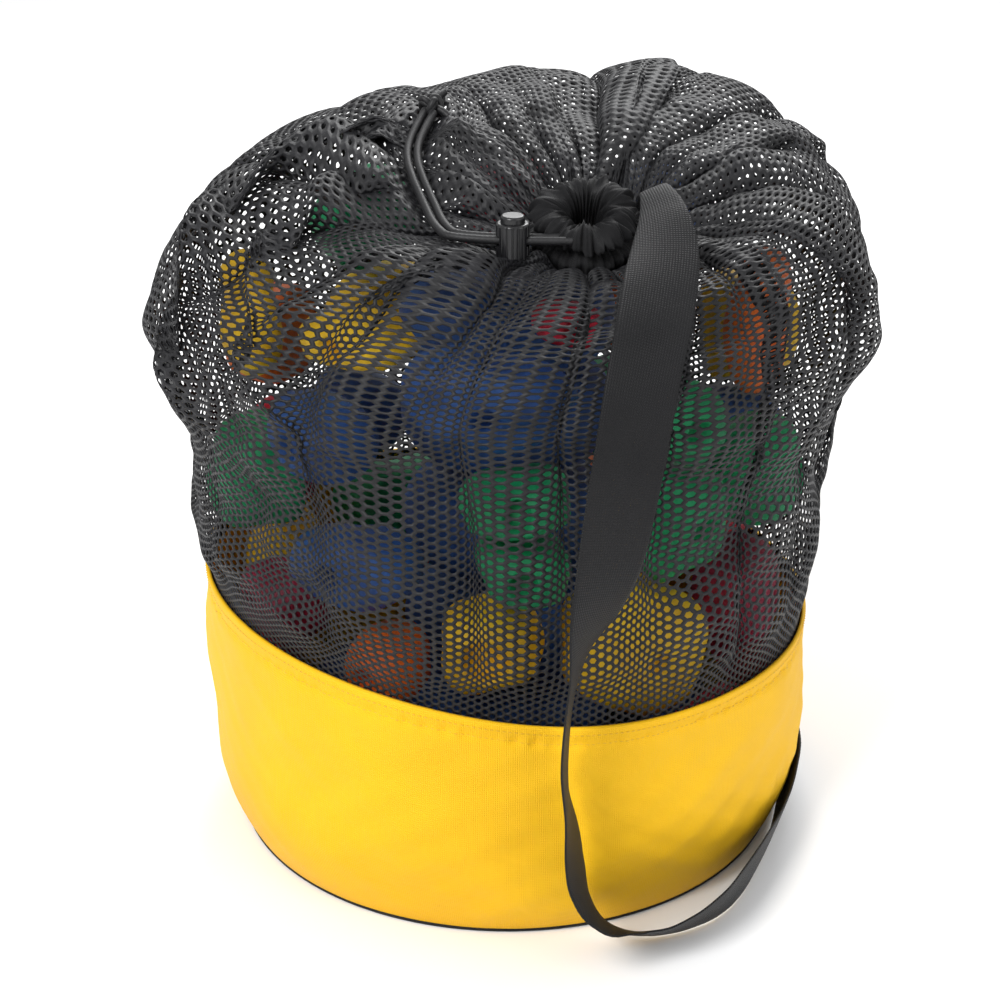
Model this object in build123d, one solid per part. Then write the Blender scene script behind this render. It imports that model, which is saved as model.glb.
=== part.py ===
"""Cinched mesh bag with a woven base, a drawcord with a spring lock, a shoulder strap, and a load
of moulded climbing holds.  Millimetres, +Z up, origin at the middle of the underside."""
from build123d import *
import math
import os

os.makedirs("parts", exist_ok=True)

# ---------------------------------------------------------------- driving dimensions
LAYER_GAP = 0.3             # clear space between neighbouring soft layers

BAG_RADIUS = 180.0          # outside of the upright part of the woven wall
FLOOR_RADIUS = 163.0        # outside of the wall where it meets the base disc
UPRIGHT_FROM = 60.0         # height above which the wall is upright
WALL_THICKNESS = 1.2
DISC_THICKNESS = 1.6
BINDING_WIDTH = 11.0
BINDING_HEIGHT = 8.0
BINDING_THICKNESS = 1.2

RIM_HEIGHT = 149.0          # seam between wall and mesh, on the centre line
RIM_LEAN = 5.3              # degrees, the seam is higher on the -X side
HEM_DEPTH = 14.0            # how far the mesh and its facing reach below the seam
HEM_THICKNESS = 1.0
MESH_THICKNESS = 1.0

NECK_CENTRE = (42.0, -58.0, 371.0)
NECK_LEAN = 24.0            # degrees, the neck tips towards -Y
NECK_SEAM_RADIUS = 27.0     # outside of the mesh where it is sewn to the casing
CASING_RADIUS = 29.0
CASING_HEIGHT = 24.0
CASING_ROUNDING = 5.0
MOUTH_RADIUS = 9.0          # what is left of the mouth when it is cinched
CHANNEL_RADIUS = 4.0        # bore of the cord channel inside the casing
CHANNEL_RING = 19.5         # radius of the channel's centre line

CORD_DIAMETER = 4.6
CORD_SPACING = 5.6          # between the two cords where they lie side by side
CORD_Y = -86.0              # middle of the pair where it leaves the casing
CORD_Z = 382.0

LOCK_X = 3.0                # centre of the lock along the cords
LOCK_DIAMETER = 18.0
LOCK_HEIGHT = 19.0
LOCK_FLOOR = 2.0
LOCK_RIBS = 18
RIB_RADIUS = 0.6
PLUNGER_DIAMETER = 13.0
PLUNGER_CLEARANCE = 0.1
PLUNGER_STAND_OUT = 4.0
PLUNGER_TRAVEL = 2.5
CORD_CLEARANCE = 0.4        # round the cords in the barrel and in the plunger
SPRING_WIRE = 0.8
SPRING_RADIUS = 4.0
SPRING_TURNS = 3

KNOT_DIAMETER = 13.0

STRAP_WIDTH = 38.0
STRAP_THICKNESS = 1.8
TAB_WIDTH = 16.0
TAB_THICKNESS = 3.0
PIVOT_GAP = 1.5             # between each sewn tab and the end of the strap

BOLT_HOLE = 11.0            # through hole of a hold
FLAT_SHARE = 0.45           # how far behind its middle a hold is cut flat, as a share of its height

# ---------------------------------------------------------------- shared construction
def at(vector):
    """A location without rotation."""
    return Location(Vector(*vector))


def rim_plane(drop=0.0):
    """The leaning plane of the seam, moved down its own normal by drop."""
    lean = math.radians(RIM_LEAN)
    normal = Vector(math.sin(lean), 0, math.cos(lean))
    return Plane(Vector(0, 0, RIM_HEIGHT) - normal * drop, x_dir=(math.cos(lean), 0, -math.sin(lean)),
                 z_dir=normal)


def neck_plane(rise=0.0):
    """The leaning plane of the neck seam, moved up its normal by rise."""
    lean = math.radians(NECK_LEAN)
    normal = Vector(0, -math.sin(lean), math.cos(lean))
    return Plane(Vector(*NECK_CENTRE) + normal * rise, x_dir=(1, 0, 0), z_dir=normal)


def below(solid, plane):
    return split(solid, bisect_by=plane, keep=Keep.BOTTOM)


def above(solid, plane):
    return split(solid, bisect_by=plane, keep=Keep.TOP)


def tube(outside, thickness, low, high):
    height = high - low
    ring = Cylinder(outside, height) - Cylinder(outside - thickness, 2 * height)
    return at((0, 0, low + height / 2)) * ring


def ribbon_at_rim(outside, thickness):
    """A band of cloth just below the seam, parallel to it."""
    band = tube(outside, thickness, RIM_HEIGHT - 60, RIM_HEIGHT + 60)
    return above(below(band, rim_plane()), rim_plane(HEM_DEPTH))


# ---------------------------------------------------------------- base
FLARE_RADIUS = ((BAG_RADIUS - FLOOR_RADIUS) ** 2 + UPRIGHT_FROM ** 2) / (2 * (BAG_RADIUS - FLOOR_RADIUS))


def wall_radius(height, inset=0.0):
    """Radius of the wall, inset from its outer face, at a height."""
    if height >= UPRIGHT_FROM:
        return BAG_RADIUS - inset
    drop = UPRIGHT_FROM - height
    return BAG_RADIUS - FLARE_RADIUS + math.sqrt((FLARE_RADIUS - inset) ** 2 - drop ** 2)


def make_base_wall():
    foot, middle, top = DISC_THICKNESS, UPRIGHT_FROM / 2, RIM_HEIGHT + 40

    def points(inset):
        return [(wall_radius(height, inset), height) for height in (foot, middle, UPRIGHT_FROM)]

    outer, inner = points(0), points(WALL_THICKNESS)
    outline = ThreePointArc(*outer) + Line(outer[2], (outer[2][0], top))
    outline += Line((outer[2][0], top), (inner[2][0], top)) + Line((inner[2][0], top), inner[2])
    outline += ThreePointArc(*reversed(inner)) + Line(inner[0], outer[0])
    return below(revolve(Plane.XZ * make_face(outline), Axis.Z), rim_plane())


def make_base_disc():
    disc = Cylinder(wall_radius(DISC_THICKNESS), DISC_THICKNESS)
    return at((0, 0, DISC_THICKNESS / 2)) * disc


def make_bottom_binding():
    edge = wall_radius(DISC_THICKNESS, WALL_THICKNESS) - LAYER_GAP
    foot = DISC_THICKNESS
    outline = Polyline(
        (edge - BINDING_WIDTH, foot),
        (edge, foot),
        (edge, foot + BINDING_HEIGHT),
        (edge - BINDING_THICKNESS, foot + BINDING_HEIGHT),
        (edge - BINDING_THICKNESS, foot + BINDING_THICKNESS),
        (edge - BINDING_WIDTH, foot + BINDING_THICKNESS),
        close=True,
    )
    return revolve(Plane.XZ * make_face(outline), Axis.Z)


MESH_AT_RIM = BAG_RADIUS - WALL_THICKNESS - LAYER_GAP
HEM_AT_RIM = MESH_AT_RIM - MESH_THICKNESS - LAYER_GAP


def make_rim_hem():
    return ribbon_at_rim(HEM_AT_RIM, HEM_THICKNESS)


# ---------------------------------------------------------------- mesh body
# Each station: centre x, y, z, half width, half depth, lean to the side, lean to the front.
MESH_STATIONS = [
    (0, 0, 180, 184, 184, 3.0, 0.0),
    (0, 0, 212, 187, 186, 1.5, 0.0),
    (0, 0, 250, 187, 186, 0.0, 0.0),
    (-1, 2, 285, 198, 188, 0.0, 0.0),
    (-2, 4, 320, 204, 190, 0.0, 2.0),
    (4, 8, 350, 197, 182, 0.0, 6.0),
    (14, 10, 376, 178, 160, 0.0, 11.0),
    (26, 6, 391, 138, 122, 0.0, 15.0),
    (32, -22, 388, 80, 76, 0.0, 20.0),
]


def mesh_sections():
    """Planes and half sizes of the body, from its edge inside the wall to the seam with the neck."""
    lean = math.radians(RIM_LEAN)
    at_rim = (MESH_AT_RIM / math.cos(lean), MESH_AT_RIM)
    seam = rim_plane()
    hem_edge = Plane((0, 0, RIM_HEIGHT - HEM_DEPTH / math.cos(lean)), x_dir=seam.x_dir, z_dir=seam.z_dir)
    sections = [(hem_edge, *at_rim), (seam, *at_rim)]
    for x, y, z, half_width, half_depth, side, front in MESH_STATIONS:
        side, front = math.radians(side), math.radians(front)
        normal = Vector(math.sin(side), -math.sin(front), math.cos(side) * math.cos(front))
        x_dir = Vector(normal.Z, 0, -normal.X)
        sections.append((Plane((x, y, z), x_dir=x_dir, z_dir=normal), half_width, half_depth))
    sections.append((neck_plane(), NECK_SEAM_RADIUS, NECK_SEAM_RADIUS))
    return sections


def inner_sections(sections):
    """The same sections, moved inwards along the cloth's normal by its thickness."""
    result = []
    for plane, half_width, half_depth in sections[:2]:
        result.append((plane, half_width - MESH_THICKNESS, half_depth - MESH_THICKNESS))
    for before, here, after in zip(sections[1:], sections[2:], sections[3:]):
        rise = (after[0].origin - before[0].origin).length
        growth = (after[1] + after[2] - before[1] - before[2]) / 2
        if after[0].origin.Z < before[0].origin.Z:
            rise = 0
        slope = math.hypot(rise, growth)
        outwards, upwards = MESH_THICKNESS * rise / slope, MESH_THICKNESS * -growth / slope
        plane = Plane(here[0].origin - here[0].z_dir * upwards, x_dir=here[0].x_dir, z_dir=here[0].z_dir)
        result.append((plane, here[1] - outwards, here[2] - outwards))
    plane, half_width, half_depth = sections[-1]
    lowered = Plane(plane.origin - plane.z_dir * MESH_THICKNESS, x_dir=plane.x_dir, z_dir=plane.z_dir)
    result.append((lowered, half_width, half_depth))
    return result


def skin(sections):
    return loft([(plane * Ellipse(wide, deep)).face() for plane, wide, deep in sections], ruled=True)


def make_mesh_body():
    sections = mesh_sections()
    mouth = neck_plane() * Cylinder(CHANNEL_RING, 6 * MESH_THICKNESS)
    return skin(sections) - skin(inner_sections(sections)) - mouth


# ---------------------------------------------------------------- neck, cord and lock
def cord_line(side):
    """Where one of the two cords runs straight out of the casing: its y."""
    return CORD_Y + side * CORD_SPACING / 2


def make_neck_casing():
    ring = Cylinder(CASING_RADIUS, CASING_HEIGHT)
    ring = fillet(ring.edges().filter_by(GeomType.CIRCLE), CASING_ROUNDING)
    ring -= Cylinder(MOUTH_RADIUS, 2 * CASING_HEIGHT)
    ring -= Torus(CHANNEL_RING, CHANNEL_RADIUS)
    casing = neck_plane(CASING_HEIGHT / 2) * ring
    return casing - make_cord_exit()


def make_cord_exit():
    """The eyelet that both cords leave through: a flat slot from outside into the channel."""
    width = CORD_SPACING + CORD_DIAMETER + 2 * CORD_CLEARANCE
    height = CORD_DIAMETER + 2 * CORD_CLEARANCE
    reach = EXIT_END - EXIT_START
    return at(((EXIT_START + EXIT_END) / 2, CORD_Y, CORD_Z)) * Box(reach, width, height)


EXIT_START = NECK_CENTRE[0] - CASING_RADIUS - 5
EXIT_END = NECK_CENTRE[0] - 6.0
CORD_END = EXIT_END - 1.0


def make_drawcord_loop():
    """The hidden turn of the drawcord in the channel, open where its two ends leave."""
    gap = 90
    plane = neck_plane(CASING_HEIGHT / 2)
    arc = CenterArc((0, 0), CHANNEL_RING, 225 + gap / 2, 360 - gap)
    path = plane * arc
    profile = Plane(path @ 0, z_dir=path % 0) * Circle(CORD_DIAMETER / 2)
    return sweep(profile, path=path)


# Route of each tail: from the casing through the lock, left and back over the bag to the knot.
TAIL_ROUTES = {
    "drawcord_tail_left": [
        (CORD_END, cord_line(1), CORD_Z),
        (-24.2, cord_line(1), CORD_Z),
        (-33.4, -63.0, 382.5),
        (-39.3, -41.2, 388.0),
        (-46.3, -19.3, 395.5),
        (-50.7, 1.2, 402.5),
        (-48.8, 21.4, 409.0),
        (-41.8, 43.7, 416.7),
    ],
    "drawcord_tail_right": [
        (CORD_END, cord_line(-1), CORD_Z),
        (-27.8, cord_line(-1), CORD_Z),
        (-38.6, -65.0, 382.5),
        (-44.7, -42.8, 388.0),
        (-51.7, -20.7, 395.5),
        (-56.3, 0.8, 402.5),
        (-54.3, 22.6, 409.0),
        (-46.6, 47.3, 417.4),
    ],
}
KNOT_CENTRE = (-43.7, 50.0, 418.5)
KNOT_TIPS = [(-36, 62, 424), (-32, 42, 413.5)]


def arc_radii(points):
    """The largest tangent arc that each corner's two runs allow, at 0.45 of the shorter run."""
    radii = []
    vectors = [Vector(*point) for point in points]
    for before, here, after in zip(vectors, vectors[1:], vectors[2:]):
        half_turn = math.radians((here - before).get_angle(after - here) / 2)
        shorter = min((here - before).length, (after - here).length)
        radii.append(0.45 * shorter / math.tan(half_turn))
    return radii


def make_cord(name, points):
    """A round cord along straight runs joined by tangent arcs."""
    radii = arc_radii(points)
    path = FilletPolyline(*points, radius=radii)
    section = Plane(path @ 0, z_dir=path % 0) * Circle(CORD_DIAMETER / 2)
    cord = sweep(section, path=path)
    straight = math.pi * (CORD_DIAMETER / 2) ** 2 * path.length
    print(name, "length", round(path.length, 1), "radii", [round(radius) for radius in radii],
          "volume ratio", round(cord.volume / straight, 4))
    return cord


def lock_plane():
    """The middle of the lock: its axis is upright, and the cords cross it along X."""
    return Plane((LOCK_X, CORD_Y, CORD_Z), x_dir=(1, 0, 0), z_dir=(0, 0, 1))


SLOT_WIDTH = CORD_SPACING + CORD_DIAMETER + 2 * CORD_CLEARANCE
SLOT_HEIGHT = CORD_DIAMETER + 2 * CORD_CLEARANCE
WELL_RADIUS = PLUNGER_DIAMETER / 2 + PLUNGER_CLEARANCE
PLUNGER_FOOT = -LOCK_HEIGHT / 2 + LOCK_FLOOR + 4.0


def make_lock_barrel():
    body = Cylinder(LOCK_DIAMETER / 2, LOCK_HEIGHT)
    body = fillet(body.edges().filter_by(GeomType.CIRCLE), 1.5)
    groove = Cylinder(RIB_RADIUS, LOCK_HEIGHT)
    for place in PolarLocations(LOCK_DIAMETER / 2, LOCK_RIBS, start_angle=10):
        body -= place * groove
    well = at((0, 0, LOCK_FLOOR)) * Cylinder(WELL_RADIUS, LOCK_HEIGHT)
    body -= well
    body -= Box(2 * LOCK_DIAMETER, SLOT_WIDTH, SLOT_HEIGHT)
    return lock_plane() * body


def make_lock_plunger():
    top = LOCK_HEIGHT / 2 + PLUNGER_STAND_OUT
    length = top - PLUNGER_FOOT
    body = at((0, 0, PLUNGER_FOOT + length / 2)) * Cylinder(PLUNGER_DIAMETER / 2, length)
    body = fillet(body.edges().group_by(Axis.Z)[-1], 1.5)
    body -= at((0, 0, PLUNGER_TRAVEL / 2)) * Box(2 * LOCK_DIAMETER, SLOT_WIDTH, SLOT_HEIGHT + PLUNGER_TRAVEL)
    return lock_plane() * body


def make_lock_spring():
    foot = -LOCK_HEIGHT / 2 + LOCK_FLOOR + SPRING_WIRE / 2 + 0.1
    height = PLUNGER_FOOT - foot - SPRING_WIRE / 2 - 0.1
    coil = Helix(pitch=height / SPRING_TURNS, height=height, radius=SPRING_RADIUS, center=(0, 0, foot))
    wire = Plane(coil @ 0, z_dir=coil % 0) * Circle(SPRING_WIRE / 2)
    return lock_plane() * sweep(wire, path=coil, is_frenet=True)


def make_knot():
    """An overhand knot in both cords, as three rounded turns, with the two cut ends standing out."""
    turn = Torus(KNOT_DIAMETER / 2 - CORD_DIAMETER / 2, CORD_DIAMETER / 2)
    core = Sphere(KNOT_DIAMETER / 2 - 1.5)
    knot = at(KNOT_CENTRE) * (core + Rot(0, 90, 20) * turn + Rot(60, 0, 40) * turn + Rot(-50, 20, 0) * turn)
    for tip in KNOT_TIPS:
        reach = Vector(*tip) - Vector(*KNOT_CENTRE)
        along = Plane(KNOT_CENTRE, z_dir=reach)
        knot += along * Cylinder(CORD_DIAMETER / 2, reach.length, align=(Align.CENTER, Align.CENTER, Align.MIN))
    return knot


# ---------------------------------------------------------------- shoulder strap
# Each station: centre, direction across the webbing, half width there.
STRAP_STATIONS = [
    ((80, -56, 392), (0.95, 0.3, 0.0), 8),
    ((84, -62, 400), (0.98, 0.2, 0.0), 12),
    ((86, -76, 405), (1.0, 0.05, 0.1), 17),
    ((84, -98, 401), (1.0, 0.0, 0.1), 19),
    ((80, -126, 390), (1.0, 0.05, 0.0), 19),
    ((76, -152, 376), (0.98, 0.2, 0.0), 19),
    ((71, -174, 359), (0.95, 0.3, 0.0), 19),
    ((66, -189, 338), (0.95, 0.3, 0.0), 19),
    ((61, -200, 310), (0.96, 0.26, 0.0), 19),
    ((57, -206, 280), (0.97, 0.24, 0.0), 19),
    ((52, -209, 250), (0.96, 0.26, 0.0), 19),
    ((46, -210, 222), (0.88, -0.05, 0.0), 19),
    ((39, -210, 196), (0.72, -0.65, 0.0), 19),
    ((34, -209, 168), (0.4, -0.92, 0.0), 19),
    ((31, -208, 140), (0.18, -0.98, 0.05), 19),
    ((31, -206, 112), (0.02, -1.0, 0.05), 19),
    ((34, -204, 86), (-0.2, -0.97, 0.1), 19),
    ((38, -201, 62), (-0.25, -0.92, 0.3), 19),
    ((45, -198, 42), (-0.2, -0.85, 0.5), 19),
    ((55, -194, 27), (-0.1, -0.8, 0.6), 19),
    ((68, -190, 18.5), (0.0, -0.8, 0.62), 19),
    ((84, -186, 16), (0.1, -0.78, 0.66), 19),
    ((100, -179, 17), (0.2, -0.64, 0.76), 19),
    ((115, -168, 19), (0.25, -0.45, 0.86), 19),
    ((128, -152, 20), (0.2, -0.3, 0.93), 19),
    ((139, -133, 20), (0.2, -0.2, 0.95), 19),
    ((148, -113, 20), (0.22, -0.18, 0.95), 19),
    ((157, -91, 20), (0.26, -0.15, 0.95), 19),
    ((164, -69, 20), (0.3, -0.12, 0.95), 19),
    ((170, -45, 20), (0.31, -0.08, 0.95), 19),
    ((175, -18, 20), (0.32, -0.03, 0.95), 19),
    ((175.5, 10, 20), (0.32, 0.02, 0.95), 19),
    ((172, 38, 19), (0.31, 0.07, 0.95), 17.5),
    ((166, 63, 15), (0.25, 0.1, 0.96), 13),
    ((160, 84, 10.5), (0.1, 0.05, 0.99), 8),
]


def strap_sections():
    centres = [Vector(*station[0]) for station in STRAP_STATIONS]
    sections = []
    for index, (centre, across, half_width) in enumerate(STRAP_STATIONS):
        before = centres[max(index - 1, 0)]
        after = centres[min(index + 1, len(centres) - 1)]
        along = (after - before).normalized()
        across = Vector(*across)
        across = (along * across.dot(along) - across).normalized()
        plane = Plane(centre, x_dir=across, z_dir=along)
        sections.append((plane * Rectangle(2 * half_width, STRAP_THICKNESS)).face())
    return sections


def make_shoulder_strap():
    strap = loft(strap_sections(), ruled=True)
    centres = [Vector(*station[0]) for station in STRAP_STATIONS]
    length = sum((b - a).length for a, b in zip(centres, centres[1:]))
    print("shoulder_strap length", round(length), "valid", strap.is_valid)
    return strap


def make_top_tab():
    """The folded webbing end sewn flat against the side of the casing."""
    side = NECK_CENTRE[0] + CASING_RADIUS
    end = STRAP_STATIONS[0][0][0] - STRAP_THICKNESS / 2 - PIVOT_GAP
    middle = neck_plane(CASING_HEIGHT / 2).origin
    return at(((side + end) / 2, middle.Y, middle.Z)) * Box(end - side, TAB_WIDTH, TAB_WIDTH * 0.75)


def make_bottom_tab():
    """The webbing end that comes out of the seam between the wall and the disc."""
    x, y, z = STRAP_STATIONS[-1][0]
    start = wall_radius(DISC_THICKNESS + TAB_THICKNESS) + LAYER_GAP
    end = math.hypot(x, y) - STRAP_THICKNESS - 2 * PIVOT_GAP
    tab = Box(end - start, TAB_WIDTH, TAB_THICKNESS)
    turn = Rot(0, 0, math.degrees(math.atan2(y, x)))
    return turn * at(((start + end) / 2, 0, DISC_THICKNESS + TAB_THICKNESS / 2)) * tab


# ---------------------------------------------------------------- holds
# Name, kind, bearing round the bag (0 is the front, positive to +X), ring radius, height,
# half sizes across, in depth and in height, and roll about the line that faces outwards.
HOLDS = [
    ("hold_orange_bean", "boulder", -28, 140, 150, (24, 30, 22), 8),
    ("hold_yellow_pocket", "pocket", -4, 140, 172, (29, 28, 26), -10),
    ("hold_yellow_jug", "boulder", 30, 138, 160, (44, 30, 36), 20),
    ("hold_maroon_edge", "boulder", 66, 142, 160, (32, 28, 30), -15),
    ("hold_maroon_chip", "boulder", -60, 145, 165, (26, 26, 22), 0),
    ("hold_blue_rail", "boulder", -36, 140, 207, (44, 30, 24), -6),
    ("hold_green_crimp", "boulder", 3, 143, 219, (26, 28, 17), 10),
    ("hold_green_pinch", "boulder", 40, 141, 232, (24, 30, 34), 0),
    ("hold_green_wave", "boulder", 72, 147, 233, (32, 28, 34), 8),
    ("hold_green_slab", "boulder", -72, 146, 232, (30, 30, 34), 12),
    ("hold_blue_knob", "boulder", -43, 146, 279, (34, 28, 25), 14),
    ("hold_blue_sloper", "boulder", -4, 132, 307, (47, 30, 27), 12),
    ("hold_green_blob", "boulder", 2, 142, 257, (30, 28, 15), -5),
    ("hold_green_ear", "boulder", 36, 145, 294, (30, 26, 24), 20),
    ("hold_blue_chip", "boulder", 42, 118, 342, (20, 18, 13), 0),
    ("hold_yellow_ring", "ring", -76, 148, 322, (38, 16, 38), 0),
    ("hold_yellow_band", "boulder", -40, 122, 329, (34, 24, 16), -8),
    ("hold_red_pebble", "boulder", 19, 98, 338, (18, 18, 12), 15),
    ("hold_orange_arch", "ring", 72, 146, 322, (43, 14, 43), 0),
    ("hold_red_back", "boulder", 180, 86, 356, (28, 26, 20), 10),
    ("hold_blue_back", "boulder", 140, 140, 338, (38, 28, 26), -20),
    ("hold_green_back", "boulder", -140, 140, 335, (40, 28, 26), 15),
    ("hold_yellow_back", "boulder", 108, 150, 285, (36, 28, 34), 10),
    ("hold_orange_back", "boulder", 145, 145, 275, (38, 28, 32), 0),
    ("hold_maroon_back", "boulder", 180, 145, 290, (36, 28, 34), -15),
    ("hold_yellow_side", "boulder", -145, 145, 272, (38, 28, 32), 20),
    ("hold_orange_side", "boulder", -108, 150, 280, (36, 28, 32), -10),
    ("hold_blue_side", "boulder", 110, 142, 215, (38, 30, 32), 15),
    ("hold_green_rear", "boulder", 147, 140, 205, (40, 30, 34), -10),
    ("hold_yellow_rear", "boulder", -175, 140, 218, (38, 30, 34), 5),
    ("hold_blue_rear", "boulder", -138, 140, 208, (36, 30, 28), -12),
    ("hold_red_side", "boulder", -105, 142, 210, (34, 30, 31), 10),
    ("hold_red_rear", "boulder", 125, 140, 143, (42, 30, 32), 0),
    ("hold_orange_rear", "boulder", 166, 138, 138, (40, 30, 30), 12),
    ("hold_green_low", "boulder", -150, 138, 142, (44, 30, 28), -6),
    ("hold_yellow_low", "boulder", -103, 138, 140, (44, 30, 32), 6),
]
LOWER_LAYERS = [(38, 104, 6, (44, 30, 30)), (86, 128, 7, (46, 32, 18))]      # height, radius, count, sizes
CORE_HEIGHTS = [50, 118, 186, 254, 312]                                        # holds on the centre line
CORE_SIZE = (62, 27)
CORE_ROUNDING = 24.0


def place_hold(shape, bearing, radius, height, roll):
    turn = math.radians(bearing)
    spot = Location((radius * math.sin(turn), -radius * math.cos(turn), height))
    return spot * Rot(0, 0, bearing) * Rot(0, roll, 0) * shape


def pill(long_half, round_half):
    """A solid of revolution about X: a cylinder with a ball at each end."""
    straight = long_half - round_half
    outline = Line((-long_half, 0), (long_half, 0)) + CenterArc((straight, 0), round_half, 0, 90)
    outline += Line((straight, round_half), (-straight, round_half))
    outline += CenterArc((-straight, 0), round_half, 90, 90)
    return revolve(make_face(outline), Axis.X)


def boulder(half_sizes):
    """A rounded hold: domed outwards, flat on the side towards the bag's middle, with a bolt hole."""
    across, depth, tall = half_sizes
    round_half = min(across, tall)
    body = pill(max(across, tall), round_half)
    if tall > across:
        body = Rot(0, 90, 0) * body
    body -= at((0, depth + FLAT_SHARE * round_half, 0)) * Box(3 * across, 2 * depth, 3 * tall)
    return at((0, round_half - depth, 0)) * (body - Rot(90, 0, 0) * Cylinder(BOLT_HOLE / 2, 4 * depth))


def pocket(half_sizes):
    """A boulder with a wider counterbore round its bolt hole."""
    across, depth, tall = half_sizes
    counterbore = at((0, -0.95 * depth, 0)) * Rot(90, 0, 0) * Cylinder(0.36 * tall, 0.8 * depth)
    return boulder(half_sizes) - counterbore


def ring(half_sizes):
    """A round jug: a thick ring whose hole faces outwards."""
    across, depth, tall = half_sizes
    return Rot(90, 0, 0) * Torus(across - depth, depth)


SHAPES = {"boulder": boulder, "pocket": pocket, "ring": ring}


def make_lower_layer(height, radius, count, half_sizes):
    shape = boulder(half_sizes)
    return [place_hold(shape, 360 * index / count, radius, height, 0) for index in range(count)]


def make_core_hold(height):
    wide, tall = CORE_SIZE
    shape = Cylinder(wide, 2 * tall)
    shape = fillet(shape.edges().filter_by(GeomType.CIRCLE), CORE_ROUNDING)
    return at((0, 0, height)) * (shape - Cylinder(BOLT_HOLE / 2, 4 * tall))


# ---------------------------------------------------------------- build and write
nodes = {
    "base_disc": make_base_disc(),
    "base_wall": make_base_wall(),
    "bottom_binding": make_bottom_binding(),
    "rim_hem": make_rim_hem(),
    "mesh_body": make_mesh_body(),
    "neck_casing": make_neck_casing(),
    "drawcord_loop": make_drawcord_loop(),
    "drawcord_knot": make_knot(),
    "cord_lock_barrel": make_lock_barrel(),
    "cord_lock_plunger": make_lock_plunger(),
    "cord_lock_spring": make_lock_spring(),
    "shoulder_strap": make_shoulder_strap(),
    "strap_top_tab": make_top_tab(),
    "strap_bottom_tab": make_bottom_tab(),
}
for name, points in TAIL_ROUTES.items():
    nodes[name] = make_cord(name, points)
for name, kind, bearing, radius, height, half_sizes, roll in HOLDS:
    nodes[name] = place_hold(SHAPES[kind](half_sizes), bearing, radius, height, roll)
for number, layer in enumerate(LOWER_LAYERS, 1):
    nodes[f"holds_lower_layer_{number}"] = Compound(children=make_lower_layer(*layer))
nodes["holds_core"] = Compound(children=[make_core_hold(height) for height in CORE_HEIGHTS])

for name, solid in nodes.items():
    export_step(solid, f"parts/{name}.step")
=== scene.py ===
import math
import bpy
import numpy as np
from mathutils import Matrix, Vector


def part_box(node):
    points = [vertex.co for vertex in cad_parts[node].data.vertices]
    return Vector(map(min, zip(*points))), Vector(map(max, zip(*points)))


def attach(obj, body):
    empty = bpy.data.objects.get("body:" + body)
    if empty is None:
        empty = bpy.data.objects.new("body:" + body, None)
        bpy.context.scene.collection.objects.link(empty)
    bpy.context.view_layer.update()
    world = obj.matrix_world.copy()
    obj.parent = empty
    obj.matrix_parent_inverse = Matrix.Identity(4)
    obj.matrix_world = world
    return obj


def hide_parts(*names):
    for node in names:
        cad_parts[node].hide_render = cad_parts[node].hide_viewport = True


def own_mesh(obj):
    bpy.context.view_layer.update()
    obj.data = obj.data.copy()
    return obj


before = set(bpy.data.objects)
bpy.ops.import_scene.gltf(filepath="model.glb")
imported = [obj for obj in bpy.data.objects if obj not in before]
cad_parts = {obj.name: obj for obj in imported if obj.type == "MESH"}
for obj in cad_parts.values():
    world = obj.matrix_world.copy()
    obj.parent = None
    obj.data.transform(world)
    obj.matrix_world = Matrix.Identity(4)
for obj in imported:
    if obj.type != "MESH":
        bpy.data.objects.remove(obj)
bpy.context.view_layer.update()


# ---------------------------------------------------------------- camera
CAMERA_ELEVATION = math.radians(24)
CAMERA_DISTANCE = 1.30
LOOK_AT = Vector((0, 0, 0.205))


def add_camera():
    data = bpy.data.cameras.new("camera")
    camera = bpy.data.objects.new("camera", data)
    bpy.context.scene.collection.objects.link(camera)
    back = Vector((0, -math.cos(CAMERA_ELEVATION), math.sin(CAMERA_ELEVATION)))
    camera.location = LOOK_AT + back * CAMERA_DISTANCE
    camera.rotation_mode = "QUATERNION"
    camera.rotation_quaternion = (-back).to_track_quat("-Z", "Y")
    data.sensor_width = 36
    data.lens = 78.84
    data.shift_x = -0.007
    data.shift_y = -0.019
    bpy.context.scene.camera = camera


add_camera()


# ---------------------------------------------------------------- shared construction
def add_mesh(name, points, faces, material, uvs=None, smooth=True):
    mesh = bpy.data.meshes.new(name)
    mesh.from_pydata([tuple(p) for p in points], [], [tuple(f) for f in faces])
    if uvs is not None:
        layer = mesh.uv_layers.new(name="flat")
        index = np.empty(len(mesh.loops), dtype=np.int32)
        mesh.loops.foreach_get("vertex_index", index)
        layer.data.foreach_set("uv", np.asarray(uvs, dtype=np.float32)[index].ravel())
    mesh.polygons.foreach_set("use_smooth", [smooth] * len(mesh.polygons))
    mesh.materials.append(material)
    mesh.update()
    piece = bpy.data.objects.new(name, mesh)
    bpy.context.scene.collection.objects.link(piece)
    return piece


def grid_faces(rows, columns, closed_rows=False, closed_columns=False):
    row = np.arange(rows if closed_rows else rows - 1)
    column = np.arange(columns if closed_columns else columns - 1)
    r, c = np.meshgrid(row, column, indexing="ij")
    r2, c2 = (r + 1) % rows, (c + 1) % columns
    corners = [r * columns + c, r * columns + c2, r2 * columns + c2, r2 * columns + c]
    return np.stack(corners, axis=-1).reshape(-1, 4)


def unit(vectors):
    return vectors / np.maximum(np.linalg.norm(vectors, axis=-1, keepdims=True), 1e-12)


def smoothstep(low, high, value):
    share = np.clip((value - low) / (high - low), 0, 1)
    return share * share * (3 - 2 * share)


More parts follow.
